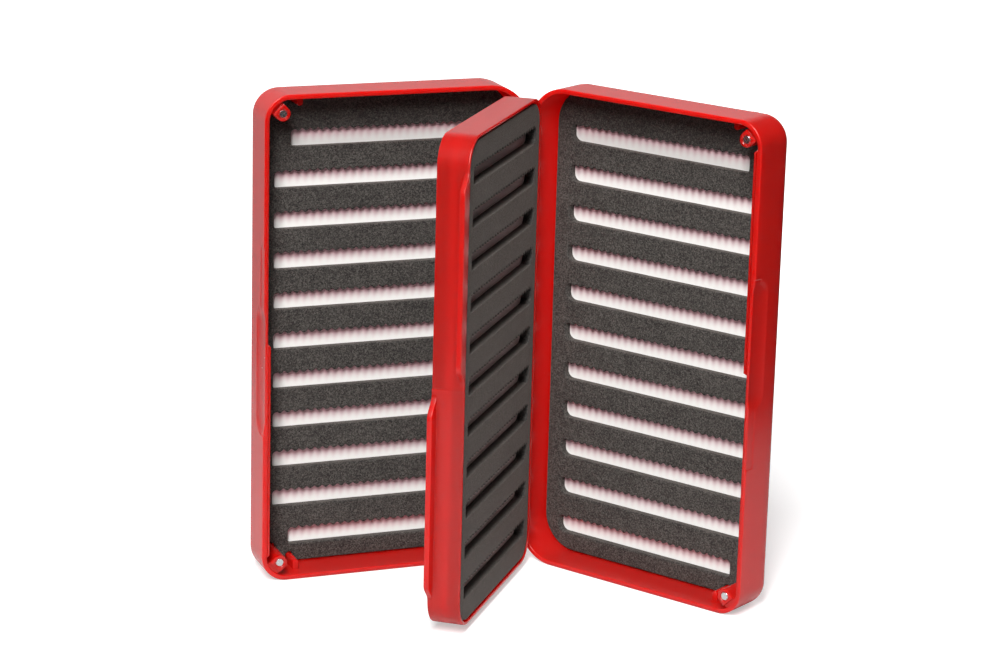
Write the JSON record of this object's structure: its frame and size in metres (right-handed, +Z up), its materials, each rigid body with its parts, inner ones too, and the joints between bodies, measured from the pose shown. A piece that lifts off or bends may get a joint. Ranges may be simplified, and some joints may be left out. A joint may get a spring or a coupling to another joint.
{
  "type": "fly box",
  "caption": "Swing-leaf fly box: shallow shells and a middle leaf on one hinge line, with slotted foam on every inner face and magnets in the free corners.",
  "frame": {"origin": "middle of the open box's bounding box, on the surface it stands on", "axes": "+Z up along the hinge line, which is the box's length; +X from the left shell's free edge towards the hinge; +Y out of the left shell's back, so that the left shell opens towards -Y"},
  "size_m": [0.175, 0.1102, 0.19],
  "materials": {
    "plastic": "gloss",
    "foam": "matt",
    "liner": "matt",
    "magnet": "nickel plated",
    "pin": "bright"
  },
  "bodies": {
    "left_shell": {"left_shell": "plastic", "left_foam": "foam", "left_liner": "liner", "left_magnet_upper": "magnet", "left_magnet_lower": "magnet", "hinge_pin_upper": "pin"},
    "leaf": {"leaf_frame": "plastic", "leaf_left_foam": "foam", "leaf_right_foam": "foam", "leaf_left_liner": "liner", "leaf_right_liner": "liner"},
    "right_shell": {"right_shell": "plastic", "right_foam": "foam", "right_liner": "liner", "right_magnet_upper": "magnet", "right_magnet_lower": "magnet", "hinge_pin_lower": "pin"}
  },
  "joints": [
    {"name": "leaf_hinge", "type": "hinge", "parent": "left_shell", "child": "leaf", "pos_m": [0.01747, 0.03463, 0.095], "axis": [0, 0, 1], "range_deg": [-52.2, 28]},
    {"name": "right_hinge", "type": "hinge", "parent": "leaf", "child": "right_shell", "pos_m": [0.01747, 0.03463, 0.095], "axis": [0, 0, 1], "range_deg": [-69, 29]}
  ]
}
